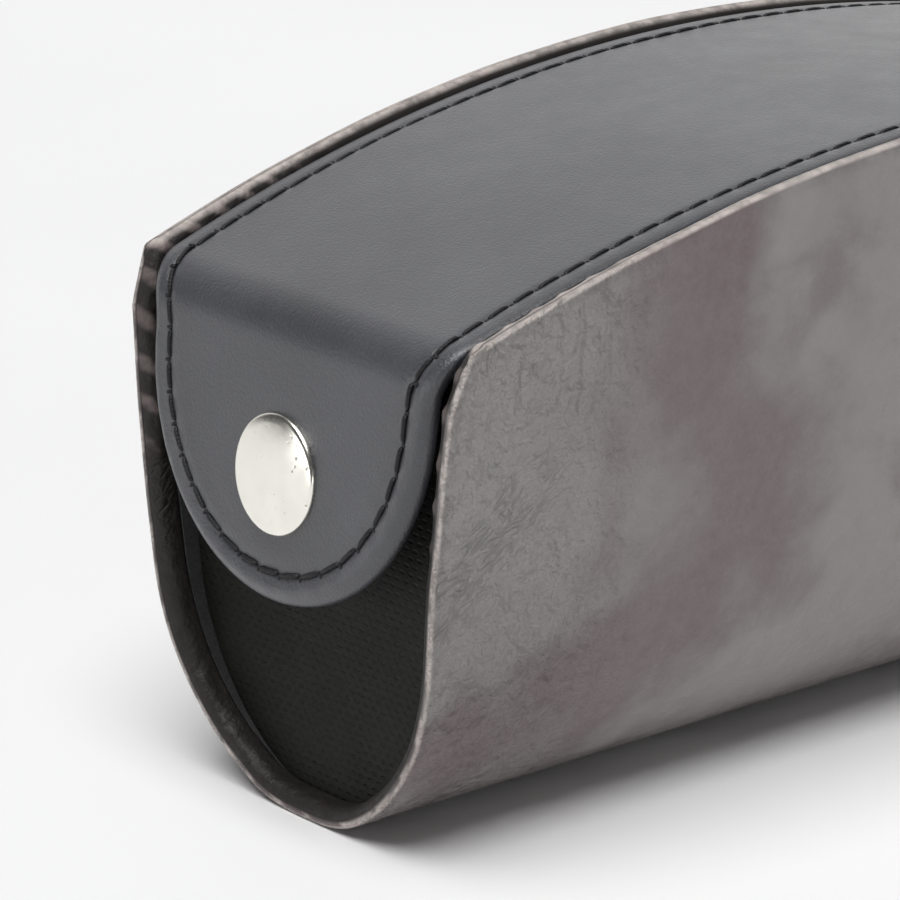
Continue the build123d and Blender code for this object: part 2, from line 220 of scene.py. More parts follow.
def ripple(points, wavelength, seed):
    """Smooth, even unevenness between about -1 and 1 at points in millimetres."""
    waves, usual_peak = 9, 4.0
    rng = np.random.default_rng(seed)
    total = np.zeros(len(points))
    for _ in range(waves):
        direction = rng.normal(size=3)
        direction /= np.linalg.norm(direction)
        length = wavelength * rng.uniform(0.7, 1.6)
        total += np.sin(points @ direction * (2 * math.pi / length) + rng.uniform(0, 2 * math.pi))
    return total / usual_peak


def smooth(low, high, x):
    """0 up to low, 1 from high, and an even curve between."""
    t = np.clip((x - low) / (high - low), 0, 1)
    return t * t * (3 - 2 * t)


def bell(x, middle, width):
    """1 at the middle, and less the further off it, to either side."""
    return np.exp(-(((x - middle) / width) ** 2))


def roll_over(radius, *distances):
    """A rolled edge's height: 0 at the edge and 1 from the radius in, for distances from one edge or more."""
    near = sum(np.maximum(0, 1 - far / radius) ** 2 for far in distances)
    return np.sqrt(np.clip(1 - near, 0, 1))


# The walls' shape


def softened(values, sign):
    """Values averaged with their neighbours: mirrored before the first, with that sign, and carried on."""
    reach = 13
    kernel = np.hanning(2 * reach + 1)
    kernel /= kernel.sum()
    carried_on = values[-1] + (values[-1] - values[-2]) * np.arange(1, reach + 1)
    return np.convolve(np.concatenate([sign * values[reach:0:-1], values, carried_on]), kernel, "valid")


def section():
    """Half of the wall's section as run, y, z and outward normal, from the middle of the base up."""
    side_length, step = 60, 0.1
    centre_z = math.sqrt(BOTTOM_R**2 - BASE_HALF**2)
    flank_y = -(FLANK_R - BOTTOM_R) * math.sin(FLANK_START)
    flank_z = centre_z + (FLANK_R - BOTTOM_R) * math.cos(FLANK_START)
    flat = np.linspace(0, BASE_HALF, 40)[:-1]
    low = np.linspace(math.asin(BASE_HALF / BOTTOM_R), FLANK_START, 60)
    high = np.linspace(FLANK_START, math.pi / 2 - LEAN, 200)[1:]
    up = np.linspace(0, side_length, 300)[1:]
    y = np.concatenate([flat, BOTTOM_R * np.sin(low), flank_y + FLANK_R * np.sin(high)])
    z = np.concatenate([flat * 0, centre_z - BOTTOM_R * np.cos(low), flank_z - FLANK_R * np.cos(high)])
    y = np.concatenate([y, y[-1] + up * math.sin(LEAN)])
    z = np.concatenate([z, z[-1] + up * math.cos(LEAN)])
    run = np.concatenate([[0], np.cumsum(np.hypot(np.diff(y), np.diff(z)))])
    even = np.arange(0, run[-1], step)
    y, z = np.interp(even, run, y), np.interp(even, run, z)
    z = np.where(y < BELLY[0], BELLY[1] * (y / BELLY[0]) ** BELLY_POWER, z)
    y, z = softened(y, -1), softened(z, 1)
    z = np.maximum(z - z[0], 0)
    dy, dz = np.gradient(y), np.gradient(z)
    size = np.hypot(dy, dz)
    return even, y, z, dz / size, -dy / size


SECTION = section()


def wall_half(inset, z):
    """Half the space between the walls at a height, inset from the outside."""
    _, y, height, ny, nz = SECTION
    return np.interp(z, height - nz * inset, y - ny * inset)


def rim_z(x):
    """Height of the arched edge."""
    return ARCH_Z + np.sqrt(RIM_R**2 - np.minimum(np.abs(x), RIM_END[0]) ** 2)


def end_x(z):
    """How far the wall reaches at a height: a bowed edge, then the cut corner."""
    bowed = END_X + END_SLOPE * z - END_BOW * z**2
    cut = CORNER[0] - (z - CORNER[1]) * (CORNER[0] - RIM_END[0]) / (RIM_END[1] - CORNER[1])
    return np.where(z > CORNER[1], cut, bowed)


def gathers(outer, edge):
    """The turned-in edge's gathers at points on the outside: a mark from 0 to 1, and their height."""
    x, z = np.abs(outer[:, 0]), outer[:, 2]
    corner = smooth(*GATHER_X, x) * smooth(*GATHER_Z, z)
    turns = 2 * math.pi * (x * 0.9 - z * 0.9) / GATHER_PITCH + 1.3 * ripple(outer, 19, 5)
    fold = 0.5 + 0.5 * np.sin(turns)
    depth = bpy.context.scene.case_sizes.gather_depth / MM
    return fold * corner, depth * fold**3 * corner * bell(edge, GATHER_PLACE, GATHER_PLACE)


def wall_map(a, b):
    """Outer and inner surface of the walls, for a across the section and b along, both -1 to 1."""
    run, sy, sz, sny, snz = SECTION
    x = b * END_X
    for _ in range(8):  # x and the edge's height depend on each other, and settle in a few rounds
        reach = np.interp(rim_z(x), sz, run)
        s = np.abs(a) * reach
        z = np.interp(s, run, sz)
        x = b * end_x(z)
    side = np.sign(a)
    outer = np.stack([x, side * np.interp(s, run, sy), z], 1)
    normal = np.stack([np.zeros_like(x), side * np.interp(s, run, sny), np.interp(s, run, snz)], 1)
    from_rim = (1 - np.abs(a)) * reach
    from_end = (1 - np.abs(b)) * end_x(z)
    edge = np.minimum(from_rim, from_end)
    roll = roll_over(INNER_ROLL, from_rim, from_end)
    lined = smooth(RIM_TURN - 0.02, RIM_TURN + 0.02, edge)
    mark, bulge = gathers(outer, edge)
    uneven = 0.11 * ripple(outer, 9, 3) * np.exp(-edge / 3) + 0.05 * ripple(outer, 34, 8)
    uneven *= smooth(0, 3, z)  # it stands flat
    middle = outer - normal * JOIN_DEPTH
    lift = JOIN_DEPTH * roll_over(OUTER_ROLL, from_rim, from_end) + uneven
    depth = (WALL_T - JOIN_DEPTH) * roll - lined * (WALL_T - COVER_T) + bulge * roll - uneven * (1 - lined)
    face = middle + normal * lift[:, None]
    back = middle - normal * depth[:, None]
    return face * MM, back * MM, {"edge": edge, "rim": from_rim, "fold": mark}


# Making pieces


def pick(*pieces):
    """Selects these pieces and no others, the first as the active one."""
    bpy.ops.object.select_all(action="DESELECT")
    for piece in pieces:
        piece.select_set(True)
    bpy.context.view_layer.objects.active = pieces[0]


@contextmanager
def edited():
    """Edit mode on the active piece, with all of it selected."""
    bpy.ops.object.mode_set(mode="EDIT")
    bpy.ops.mesh.select_all(action="SELECT")
    yield
    bpy.ops.object.mode_set(mode="OBJECT")


def graded(length, fine, step):
    """Places from -1 to 1 over a length, as fine near both ends as the given distances from them."""
    half = length / 2
    inner = np.linspace(fine[-1], half, max(2, round((half - fine[-1]) / step)))[1:]
    far = np.concatenate([fine, inner]) / half
    return np.concatenate([far - 1, (1 - far)[-2::-1]])


def sheet(across, along, surface, back):
    """A grid laid on a surface or on its back, which keeps the surface's notes and which of the two it is."""
    bpy.ops.object.select_all(action="DESELECT")
    bpy.ops.mesh.primitive_grid_add(x_subdivisions=len(across) - 1, y_subdivisions=len(along) - 1, size=2)
    piece = bpy.context.object
    mesh = piece.data
    places = np.empty(len(mesh.vertices) * 3)
    mesh.vertices.foreach_get("co", places)
    places = places.reshape(-1, 3)
    i = np.rint((places[:, 0] + 1) / 2 * (len(across) - 1)).astype(int)
    j = np.rint((places[:, 1] + 1) / 2 * (len(along) - 1)).astype(int)
    face, rear, notes = surface(across[i], along[j])
    mesh.vertices.foreach_set("co", (rear if back else face).ravel())
    notes["back"] = np.full(len(i), float(back))
    for note, values in notes.items():
        mesh.attributes.new(note, "FLOAT", "POINT").data.foreach_set("value", values)
    return piece


def shell(name, across, along, surface):
    """A closed piece from a grid: a surface and its back, joined along their common edge."""
    face, rear = (sheet(across, along, surface, back) for back in (False, True))
    with edited():
        bpy.ops.mesh.flip_normals()
    pick(face, rear)
    bpy.ops.object.join()
    piece = bpy.context.object
    piece.name = piece.data.name = name
    with edited():
        bpy.ops.mesh.remove_doubles(threshold=2e-6)
        bpy.ops.mesh.normals_make_consistent(inside=False)
    bpy.ops.object.shade_smooth()
    return piece


def add_mesh(name, points, faces):
    """A smooth-shaded piece from points in millimetres and faces."""
    mesh = bpy.data.meshes.new(name)
    mesh.from_pydata((points * MM).tolist(), [], faces)
    piece = bpy.data.objects.new(name, mesh)
    bpy.context.collection.objects.link(piece)
    pick(piece)
    bpy.ops.object.shade_smooth()
    return piece


# The strip's shape


def strip_point(run):
    """The strip's face line at +X for a run: x and z of the point, and x and z of its normal."""
    arch = math.pi / 2 - np.minimum(run, ARCH_RUN) / ARCH_R
    turn = BEND_TO - np.clip(run - ARCH_RUN, 0, BEND_RUN) / BEND_R
    down = np.maximum(run - CREASE_RUN, 0)
    on_arch = run <= ARCH_RUN
    bend_x = BEND_CENTRE[0] + BEND_R * np.cos(turn) + down * math.sin(TILT)
    bend_z = BEND_CENTRE[1] + BEND_R * np.sin(turn) - down * math.cos(TILT)
    x = np.where(on_arch, ARCH_R * np.cos(arch), bend_x)
    z = np.where(on_arch, ARCH_Z + ARCH_R * np.sin(arch), bend_z)
    angle = np.where(on_arch, arch, turn)
    return x, z, np.cos(angle), np.sin(angle)


def strip_half(run):
    """Half the strip's width: it follows the walls, then narrows to the tongue."""
    _, z, _, _ = strip_point(run)
    wide = wall_half(WALL_T + SIDE_GAP, z)
    narrow = smooth(CREASE_RUN - 7, CREASE_RUN + 3, run)
    return wide * (1 - narrow) + TONGUE_HALF * narrow


def seam_line(end):
    """A half strip's seam, round its tongue: points, normals, run, and its stitches' pitch and number."""
    sizes = bpy.context.scene.case_sizes
    run = np.arange(0, ROUND_RUN, 0.1)
    side = strip_half(run) - sizes.seam_inset / MM - SEAM_IN * smooth(CREASE_RUN - 5, ROUND_RUN, run)
    inset = sizes.seam_inset / MM + SEAM_IN
    turn = np.linspace(0, math.pi, 700)
    ny, nd = np.cos(turn) / TONGUE_HALF, np.sin(turn) / TONGUE_ROUND
    size = np.hypot(ny, nd)
    across = np.concatenate([side, TONGUE_HALF * np.cos(turn) - inset * ny / size, -side[::-1]])
    place = np.concatenate([run, ROUND_RUN + TONGUE_ROUND * np.sin(turn) - inset * nd / size, run[::-1]])
    x, z, nx, nz = strip_point(place)
    points = np.stack([end * x, end * across, z], 1)
    normals = np.stack([end * nx, np.zeros_like(x), nz], 1)
    run = np.concatenate([[0], np.cumsum(np.linalg.norm(np.diff(points, axis=0), axis=1))])
    count = round(run[-1] * MM / sizes.stitch_pitch)
    return points, normals, run, run[-1] / count, count


def seam_place(end, flat, edge):
    """How many stitches along the seam each point is, whole at a hole, and how far off the seam."""
    points, _, run, pitch, _ = seam_line(end)
    every, at_once, far_off = 3, 2000, 9.0
    phase, off = np.zeros(len(flat)), np.full(len(flat), far_off)
    near = np.flatnonzero(edge < SEAM_REACH)
    for part in np.array_split(near, max(1, len(near) // at_once)):
        gap = ((flat[part][:, None] - points[None, ::every]) ** 2).sum(2)
        phase[part] = run[::every][gap.argmin(1)] / pitch
        off[part] = np.sqrt(gap.min(1))
    return phase, off


def strip_relief(edge, phase, off, calm, drop):
    """Height of the leather's face over its flat, for the distances from its edge and from its seam.

    Where calm is 1 the face lies flatter. Its edge is down by drop."""
    sizes = bpy.context.scene.case_sizes
    roll = sizes.edge_roll / MM * (1 - 0.4 * calm)
    inset, depth = sizes.seam_inset / MM, sizes.seam_depth / MM
    hole = np.cos(2 * math.pi * phase)
    down = -drop * (1 - roll_over(roll, edge))
    groove = -depth * (1 - 0.35 * calm) * (0.8 + 0.2 * hole) * bell(off, 0, GROOVE_WIDTH)
    puffed = PUFF_HEIGHT * (1 - 0.7 * calm) * bell(edge, PUFF_PLACE, PUFF_WIDTH)
    inside = RIDGE_HEIGHT * (1 - calm) * bell(off, RIDGE_PLACE, RIDGE_WIDTH) * (edge > inset)
    return down + groove + (puffed + inside) * (1 - 0.25 * hole)


def strip_map(end):
    """A surface for half of the strip, at -X or +X: its face and back, for a across it and its run."""

    def surface(a, run):
        rounded = np.maximum(run - ROUND_RUN, 0) / TONGUE_ROUND
        half = strip_half(np.minimum(run, ROUND_RUN))
        across = a * half * np.sqrt(1 - rounded**2 / 2)
        down = TONGUE_ROUND * rounded * np.sqrt(1 - a**2 / 2)
        place = np.minimum(run, ROUND_RUN) + down
        x, z, nx, nz = strip_point(place)
        rho = np.hypot(across / half, down / TONGUE_ROUND)
        slope = np.hypot(across / half**2, down / TONGUE_ROUND**2)
        edge = np.where(down > 0, (1 - rho) * rho / np.maximum(slope, 1e-9), (1 - np.abs(a)) * half)
        flat = np.stack([end * x, end * across, z], 1)
        normal = np.stack([end * nx, np.zeros_like(x), nz], 1)
        phase, off = seam_place(end, flat, edge)
        cap_far = np.hypot(across, place - CREASE_RUN - CREASE_UP)
        uneven = 0.06 * ripple(flat, 23, 12) + 0.10 * ripple(flat, 60, 4)
        uneven *= smooth(0, 5, edge) * smooth(0.5, 8, run) * smooth(CAP_R, CAP_R + 5, cap_far)
        dimple = -DIMPLE_DEPTH * bell(cap_far, CAP_R, DIMPLE_WIDTH)
        calm = 1 - smooth(CREASE_RUN - 8, CREASE_RUN + 4, run)
        drop = bpy.context.scene.case_sizes.edge_drop / MM * (1 - 0.68 * calm)
        lift = strip_relief(edge, phase, off, calm, drop) + uneven + dimple
        under = -STRIP_T + (STRIP_T - drop) * (1 - roll_over(BACK_ROLL, edge))
        face = flat + normal * lift[:, None]
        back = flat + normal * under[:, None]
        return face * MM, back * MM, {"edge": edge, "off": off}

    return surface


def close_open_edge(piece):
    """Closes the strip's cut end in the middle of the lid, with a sharp edge."""
    pick(piece)
    with edited():
        bpy.ops.mesh.select_mode(type="EDGE")
        bpy.ops.mesh.select_all(action="DESELECT")
        bpy.ops.mesh.select_non_manifold()
        bpy.ops.mesh.edge_face_add()
        bpy.ops.mesh.select_all(action="SELECT")
        bpy.ops.mesh.normals_make_consistent(inside=False)
        bpy.ops.mesh.select_mode(type="VERT")
    bpy.ops.object.shade_smooth_by_angle(angle=math.radians(70))


def line_back(piece):
    """Gives the strip's back, all but its rolled edge, the backing."""
    mesh = piece.data
    back = np.empty(len(mesh.vertices))
    edge = np.empty(len(mesh.vertices))
    mesh.attributes["back"].data.foreach_get("value", back)
    mesh.attributes["edge"].data.foreach_get("value", edge)
    for face in mesh.polygons:
        corners = list(face.vertices)
        face.material_index = int(back[corners].min() > 0.5 and edge[corners].min() > BACKING_INSET)


def blend_at_crease(piece, end):
    """Bakes a piece's place into its mesh, at either end alike; the piece isn't bent over its crease."""
    if end < 0:
        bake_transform(piece)
    else:
        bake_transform(piece)


# Stitches and caps


def stitch_shape(length, width):
    """Points and faces of one stitch along X: it rises from a hole, lies on the leather and goes back in."""
    bpy.ops.object.select_all(action="DESELECT")
    bpy.ops.mesh.primitive_uv_sphere_add(segments=8, ring_count=9, radius=1, rotation=(0, math.pi / 2, 0))
    bpy.ops.object.transform_apply(location=True, rotation=True, scale=True)
    ball = bpy.context.object
    points = np.array([v.co for v in ball.data.vertices])
    faces = [tuple(f.vertices) for f in ball.data.polygons]
    bpy.ops.object.delete()
    along = np.clip(points[:, 0], -1, 1)
    along = np.sign(along) * np.abs(2 * np.arccos(-along) / math.pi - 1)
    angle = np.arctan2(points[:, 2], points[:, 1])
    thick = width / 2 * np.sqrt(np.clip(1 - np.abs(along) ** 7, 0, 1))
    height = 0.25 * width - width * np.abs(along) ** 5
    shaped = [along * length / 2, 1.1 * thick * np.cos(angle), height + 0.9 * thick * np.sin(angle)]
    return np.stack(shaped, 1), faces


def sewn(name, end):
    """The stitches of a half strip's seam and the thread down each hole between them, as one piece."""
    sizes = bpy.context.scene.case_sizes
    points, normals, run, pitch, count = seam_line(end)
    shape, faces = stitch_shape(sizes.stitch_length / MM, sizes.thread_width / MM)
    length, width, height = shape[:, :1], shape[:, 1:2], shape[:, 2:]
    sunk = sizes.seam_depth / MM * 0.55
    rng = np.random.default_rng(17 if end < 0 else 23)

    def at(place, values):
        return np.array([np.interp(place, run, values[:, k]) for k in range(3)])

    threads = []
    for i in range(count):
        middle = (i + 0.5) * pitch
        normal = at(middle, normals)
        normal /= np.linalg.norm(normal)
        along = at(middle + 1.2, points) - at(middle - 1.2, points)
        along -= normal * (along @ normal)
        along /= np.linalg.norm(along)
        side = np.cross(normal, along)
        yaw = rng.normal(0.05, 0.035)
        turned = along * math.cos(yaw) + side * math.sin(yaw)
        across = side * math.cos(yaw) - along * math.sin(yaw)
        centre = at(middle, points) - normal * sunk + side * rng.normal(0, 0.03)
        stretch = 1 + rng.normal(0, 0.03)
        threads.append(centre + length * stretch * turned + width * across + height * normal)
        hole = centre + along * (pitch / 2) + side * 0.30 - normal * 0.09
        threads.append(hole + width * along * 0.8 + length * 0.28 * side + height * 0.7 * normal)
    polys = [tuple(k * len(shape) + v for v in face) for k in range(len(threads)) for face in faces]
    piece = add_mesh(name, np.concatenate(threads), polys)
    with edited():
        bpy.ops.mesh.normals_make_consistent(inside=False)
    return piece


def domed_cap(name, end):
    """A round cap with a low dome and a rolled edge, drawn up ring by ring from a disc."""
    height = bpy.context.scene.case_sizes.cap_height / MM
    rings = [(CAP_R - inward, up) for inward, up in CAP_RIM]
    inner, rim_top = rings[-1]
    for k in range(1, DOME_RINGS):
        left = 1 - k / DOME_RINGS
        rings.append((inner * left, rim_top + (height - rim_top) * (1 - left**2)))
    radius, base = rings[0]
    bpy.ops.object.select_all(action="DESELECT")
    bpy.ops.mesh.primitive_circle_add(
        vertices=96, radius=radius * MM, fill_type="NGON", location=(0, 0, base * MM)
    )
    cap = bpy.context.object
    bpy.ops.object.transform_apply(location=True, rotation=True, scale=True)
    with edited():
        for (wide, low), (next_wide, high) in zip(rings, rings[1:]):
            bpy.ops.mesh.extrude_region_move(TRANSFORM_OT_translate={"value": (0, 0, (high - low) * MM)})
            share = next_wide / wide
            bpy.ops.transform.resize(value=(share, share, 1), center_override=(0, 0, high * MM))
        bpy.ops.mesh.poke()
        bpy.ops.mesh.select_all(action="SELECT")
        bpy.ops.mesh.normals_make_consistent(inside=False)
    out = Vector((end * math.cos(TILT), 0, math.sin(TILT)))
    up = Vector((-end * math.sin(TILT), 0, math.cos(TILT)))
    seat = Matrix((up.cross(out), up, out)).transposed().to_4x4()
    seat.translation = Vector((end * TONGUE_X, 0, CAP_Z)) * MM
    cap.matrix_world = seat
    bpy.ops.object.transform_apply(location=True, rotation=True, scale=True)
    bpy.ops.object.shade_smooth_by_angle(angle=math.radians(50))
    cap.name = cap.data.name = name
    return cap


# Materials


class Wire:
    """One output of a material's nodes. Maths on it adds the nodes that work it out."""

    def __init__(self, tree, socket):
        self.tree, self.socket = tree, socket

    def node(self, kind, settings=None, sockets=None, out=0):
        """Adds a node of that kind, set and joined up, and gives one of its outputs."""
        made = self.tree.nodes.new(kind)
        for key, value in (settings or {}).items():
            setattr(made, key, value)
        for key, value in (sockets or {}).items():
            if isinstance(value, Wire):
                self.tree.links.new(value.socket, made.inputs[key])
            else:
                made.inputs[key].default_value = value
        return Wire(self.tree, made.outputs[out])

    def maths(self, operation, *others):
        """This value, or this value and others, put through one operation."""
        return self.node("ShaderNodeMath", {"operation": operation}, dict(enumerate((self, *others))))

    def __add__(self, other):
        return self.maths("ADD", other)

    def __sub__(self, other):
        return self.maths("SUBTRACT", other)

    def __rsub__(self, other):
        return self.node("ShaderNodeMath", {"operation": "SUBTRACT"}, {0: other, 1: self})

    def __mul__(self, other):
        return self.maths("MULTIPLY", other)

    __radd__ = __add__
    __rmul__ = __mul__

    def rise(self, low, high, to_low=0.0, to_high=1.0):
        """An even curve from one value at low to another at high, and level beyond them."""
        limits = {"Value": self, "From Min": low, "From Max": high, "To Min": to_low, "To Max": to_high}
        return self.node("ShaderNodeMapRange", {"interpolation_type": "SMOOTHSTEP"}, limits)

    def fall(self, low, high):
        """1 up to low, 0 from high, and an even curve between."""
        return self.rise(low, high, 1.0, 0.0)

    def cloud(self, scale, detail=2.0, rough=0.5, distortion=0.0):
        """Noise of that many features a metre, read at this place."""
        shape = {"Scale": scale, "Detail": detail, "Roughness": rough, "Distortion": distortion}
        return self.node("ShaderNodeTexNoise", {}, {"Vector": self, **shape})

    def cells(self, feature, scale, **shape):
        """Distances in a pattern of that many cells a metre, read at this place."""
        sockets = {"Vector": self, "Scale": scale, **shape}
        return self.node("ShaderNodeTexVoronoi", {"feature": feature}, sockets)

    def between(self, low, high):
        """The colour between two others that this value picks."""
        low, high = (c if isinstance(c, Wire) else (*c, 1.0) for c in (low, high))
        return self.node("ShaderNodeMix", {"data_type": "RGBA"}, {0: self, 6: low, 7: high}, out=2)

    def moved(self, shift=(0, 0, 0), turn=(0, 0, 0), scale=(1, 1, 1)):
        """This place scaled, turned and then shifted."""
        sockets = {"Vector": self, "Location": shift, "Rotation": turn, "Scale": scale}
        return self.node("ShaderNodeMapping", {}, sockets)

    def split(self):
        """The x, y and z of this place."""
        x = self.node("ShaderNodeSeparateXYZ", {}, {0: self})
        return [Wire(self.tree, output) for output in x.socket.node.outputs]

    def attribute(self, name):
        """What the surface's points hold under a name."""
        return self.node("ShaderNodeAttribute", {"attribute_name": name}, {}, out=2)

    def bump(self, distance, strength=1.0):
        """A normal bent by this value as a height."""
        return self.node("ShaderNodeBump", {}, {"Height": self, "Distance": distance, "Strength": strength})


def times(colour, share):
    """A colour made darker or paler by a share."""
    return tuple(c * share for c in colour)


def material(name, constants, paint):
    """A material with those constants on its shader, and what paint gives for the place over the surface."""
    made = bpy.data.materials.new(name)
    made.use_nodes = True
    tree = made.node_tree
    shader = tree.nodes["Principled BSDF"]
    for key, value in constants.items():
        shader.inputs[key].default_value = value
    place = Wire(tree, tree.nodes.new("ShaderNodeTexCoord").outputs["Object"])
    for key, value in paint(place).items():
        tree.links.new(value.socket, shader.inputs[key])
    return made


def cover_ground(place):
    """The cover's mottling: soft brown patches on pale grey, a warmer tone in places, and pale flecks."""
    colours = bpy.context.scene.case_colours
    wide = place.moved(shift=(1.162, 1.331, 0.842)).cloud(38, 2.0, 0.5, 0.3)
    small = place.moved(shift=(0.748, 0.112, 1.395)).cloud(120, 3.0, 0.55, 0.4)
    tone = place.moved(shift=(0.7, 0.2, 0.5)).cloud(26, 2.0, 0.5)
    patch = (wide * 0.72 + small * 0.28).rise(0.39, 0.60)
    ground = patch.between(colours.cover_dark, colours.cover_pale)
    warm = tone.rise(0.42, 0.62, 0.0, 0.25).between(ground, COVER_WARM)
    speck = place.cloud(2300, 2.0, 0.6) * 0.5 + place.cloud(620, 3.0, 0.6) * 0.5
    return speck.rise(0.25, 0.8, 0.0, 0.22).between(warm, COVER_FLECK)


def cover_creases(place, far, z):
    """Fine creases near the ends: slanted ones just under a falling line, and upright ones over it."""
    over = z - far.rise(0.066, 0.084, 0.0425, 0.030)
    band = over.rise(-0.011, -0.004) * over.fall(0.0, 0.003) * far.rise(0.060, 0.074)
    stray = place.node("ShaderNodeTexNoise", {}, {"Vector": place, "Scale": 260.0}, out=1)
    swing = {0: stray, 1: (0.0022,) * 3, 2: place}
    bent = place.node("ShaderNodeVectorMath", {"operation": "MULTIPLY_ADD"}, swing)
    leaning = bent.moved(turn=(0, 0.68, 0)).moved(scale=(0.30, 1.0, 1.0))
    slant = leaning.cells("DISTANCE_TO_EDGE", 1150.0).fall(0.0, 0.22)
    slant = slant * place.moved(shift=(0.1, 0.2, 0.9)).cloud(330, 2.0, 0.5).rise(0.36, 0.56) * band
    upright = bent.moved(turn=(0, 0.12, 0)).moved(scale=(1.0, 1.0, 0.13))
    hang = upright.cells("DISTANCE_TO_EDGE", 330.0).fall(0.0, 0.16)
    hang = hang * place.moved(shift=(0, 0.3, 0.7)).cloud(120, 2.0, 0.5).rise(0.40, 0.58)
    return slant, hang * over.rise(0.001, 0.006) * far.rise(0.054, 0.064)


def mottled_leather():
    """Pale grey leather with soft brown patches, paler towards the top near the ends, fine creases near the
    ends, and edges pale from rubbing and from a painted highlight; painted shade in the creases, in a band
    under the rolled edges and on the dark inside of the turned-in edges.
    """

    def paint(place):
        x, _, z = place.split()
        far = x.maths("ABSOLUTE")
        near_end = far.rise(0.044, 0.074)
        slant, hang = cover_creases(place, far, z)
        edge, rim, back, fold = (place.attribute(name) for name in ("edge", "rim", "back", "fold"))
        dents = place.moved(shift=(0.6, 0.1, 0.3)).cloud(420, 3.0, 0.6)
        rim_patches = place.moved(shift=(0.2, 0.5, 0.1)).cloud(520, 4.0, 0.7).rise(0.3, 0.7, 0.4, 1.0)
        # Pale rim line: partly wear from rubbing, partly a painted highlight on the rolled edges
        rubbed_and_highlit = (edge.fall(0.06, 0.40) * (1 - back) + rim.fall(0.10, 0.75) * back) * rim_patches
        inside = back * edge.rise(0.0, 0.07)
        turned = edge.fall(0.4, 1.9) * dents.rise(0.35, 0.6)
        gather = fold.rise(0.45, 0.92) * back
        # Paler towards the top near the ends
        colour = (near_end * z.rise(0.022, 0.038) * 0.38).between(cover_ground(place), COVER_PALE_UPPER_ENDS)
        # Painted shade in the slanted creases and in a band under the rolled edges
        colour = (slant * 0.08 + turned * 0.30).between(colour, COVER_SHADE)
        # Turned-in inside: partly dark leather, partly painted shade between the gathers, with paler crests
        colour = inside.between(colour, gather.between(INSIDE_DARK_AND_SHADE, INSIDE_FOLD_CREST))
        # Painted highlight and wear from rubbing on the rolled edges
        colour = rubbed_and_highlit.between(colour, bpy.context.scene.case_colours.cover_edge)
        grain = place.cloud(1700, 3.0, 0.6) * 0.6 + place.cells("SMOOTH_F1", 620.0, Smoothness=0.8)
        grain = (grain + dents * 3.6) * near_end.rise(0.0, 1.0, 0.5, 4.0)
        relief = grain + hang * 2.6 - slant * 4.0
        swell = place.moved(shift=(0.1, 0.7, 0.3)).cloud(150, 2.0, 0.5)
        height = relief * (1 - inside * 0.85) + swell * 3.0
        rough = place.cloud(420, 2.0, 0.5).rise(0.3, 0.7, 0.50, 0.62)
        return {"Base Color": colour, "Roughness": rough, "Normal": height.bump(0.00030, 0.7)}

    return material("Mottled leather", {"Specular IOR Level": 0.35}, paint)


def black_leather():
    """Fine-grained black leather with a soft gloss."""
    leather = bpy.context.scene.case_colours.leather

    def paint(place):
        cells = place.cells("SMOOTH_F1", 2600.0, Smoothness=0.35)
        fine = place.cloud(4500, 2.0, 0.6)
        broad = place.cloud(60, 3.0, 0.5)
        colour = (broad * 0.6 + fine * 0.5).rise(0.35, 0.8).between(times(leather, 0.75), times(leather, 1.3))
        # Painted shade in the seam's groove
        colour = place.attribute("off").rise(0.1, 0.45, 0.85, 0.0).between(colour, SEAM_GROOVE_SHADE)
        height = fine * 0.9 - cells * 0.5
        rough = (place.cloud(240, 3.0, 0.6) * 0.6 + fine * 0.4).rise(0.3, 0.7, 0.32, 0.42)
        return {"Base Color": colour, "Roughness": rough, "Normal": height.bump(0.00013, 0.6)}

    gloss = {"Specular IOR Level": 0.65, "Coat Weight": 0.3, "Coat Roughness": 0.3}
    return material("Black leather", gloss, paint)


def sewing_thread():
    """Black twisted thread with a little fluff."""
    thread = bpy.context.scene.case_colours.thread

    def paint(place):
        twisted = place.moved(turn=(0.5, 0.6, 0.7))
        ply = twisted.node(
            "ShaderNodeTexWave",
            {"wave_type": "BANDS", "bands_direction": "DIAGONAL"},
            {"Vector": twisted, "Scale": 900.0, "Distortion": 1.0, "Detail": 1.0},
        )
        hair = place.cloud(5200, 2.0, 0.6)
        colour = (ply * 0.5 + hair * 0.5).between(times(thread, 0.6), times(thread, 2.4))
        return {"Base Color": colour, "Normal": (ply + hair * 0.6).bump(0.00008, 0.5)}

    return material("Sewing thread", {"Roughness": 0.55, "Specular IOR Level": 0.35}, paint)


def polished_nickel():
    """Pale warm nickel with fine pits and a soft haze."""
    nickel = bpy.context.scene.case_colours.nickel

    def paint(place):
        _, y, _ = place.split()
        where = place.cloud(420, 2.0, 0.55).rise(0.40, 0.55) * y.rise(-0.004, 0.0, 1.0, 0.12)
        pit = place.cells("F1", 1300.0, Randomness=1.0).fall(0.10, 0.24) * where
        haze = place.cloud(360, 3.0, 0.6)
        metal = haze.rise(0.3, 0.7).between(times(nickel, 0.93), nickel)
        colour = (pit * 0.75).between(metal, PIT_GREY)
        rough = haze.rise(0.3, 0.7, 0.17, 0.27) + pit * 0.3
        return {"Base Color": colour, "Roughness": rough, "Normal": (haze * 0.3 - pit).bump(0.00006, 0.6)}

    return material("Polished nickel", {"Metallic": 1.0}, paint)


